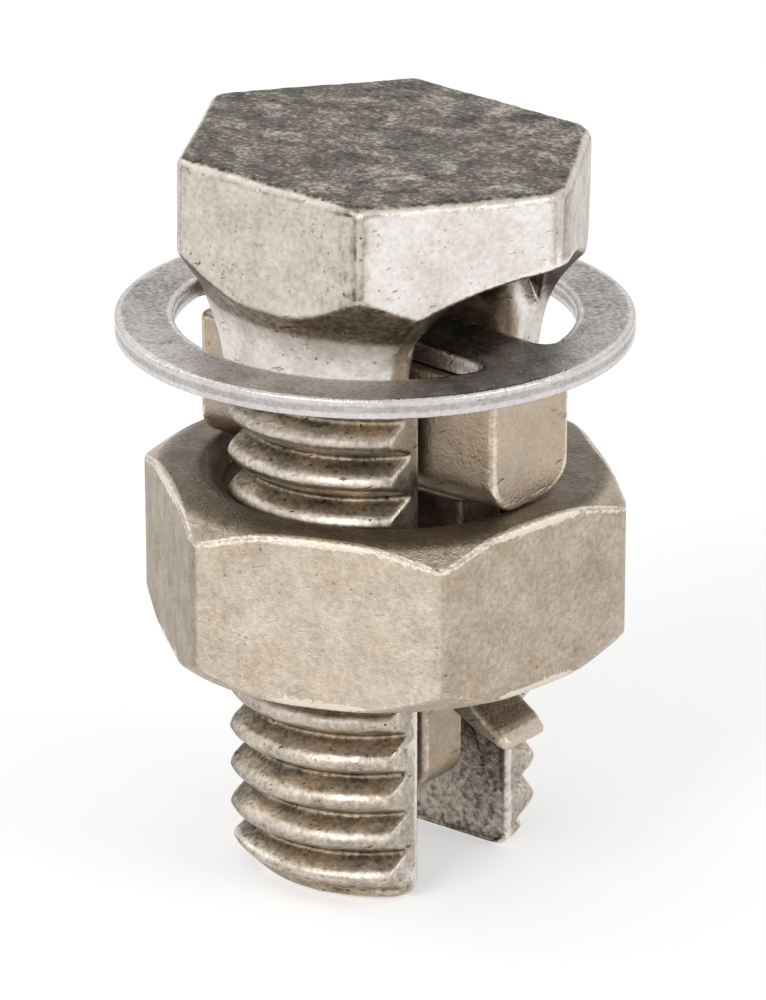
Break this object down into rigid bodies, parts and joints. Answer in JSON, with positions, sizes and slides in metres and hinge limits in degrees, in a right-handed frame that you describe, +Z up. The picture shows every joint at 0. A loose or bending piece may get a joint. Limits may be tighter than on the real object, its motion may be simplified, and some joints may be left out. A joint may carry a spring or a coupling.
{
  "type": "split bolt connector",
  "caption": "Slotted hex bolt with a captive nut, pressure bar and spacer, which clamps electrical conductors side by side in its slot.",
  "frame": {"origin": "on the bolt's axis, in the plane of the two leg tips that it stands on", "axes": "+Z up the bolt's axis to the head, +X along the slot that the conductors lie in, +Y from one leg to the other"},
  "size_m": [0.0258, 0.0258, 0.0381],
  "materials": {
    "bright_plate": "bright tin plate over copper alloy, softly worn",
    "matt_bronze": "matt tumbled copper alloy, thinly plated",
    "warm_bronze": "satin copper alloy, thinly plated",
    "dull_plate": "dull mottled tin plate on stamped sheet"
  },
  "bodies": {
    "bolt": {"split_bolt": "bright_plate"},
    "bar": {"pressure_bar": "warm_bronze"},
    "nut": {"hex_nut": "matt_bronze"},
    "spacer": {"spacer": "dull_plate"}
  },
  "joints": [
    {"name": "bar_slide", "type": "slide", "parent": "bolt", "child": "bar", "axis": [0, 0, 1], "range_m": [-0.011, 0]},
    {"name": "nut_spin", "type": "hinge", "parent": "bar", "child": "nut", "pos_m": [0, 0, 0.0166], "axis": [0, 0, 1], "range_deg": [-1870, 0]},
    {"name": "spacer_slide", "type": "slide", "parent": "bar", "child": "spacer", "axis": [0, 0, 1], "range_m": [0, 0.0006]}
  ],
  "couplings": [
    {"joint": "bar_slide", "follows": "nut_spin", "m_per_rad": 0.00033693}
  ]
}
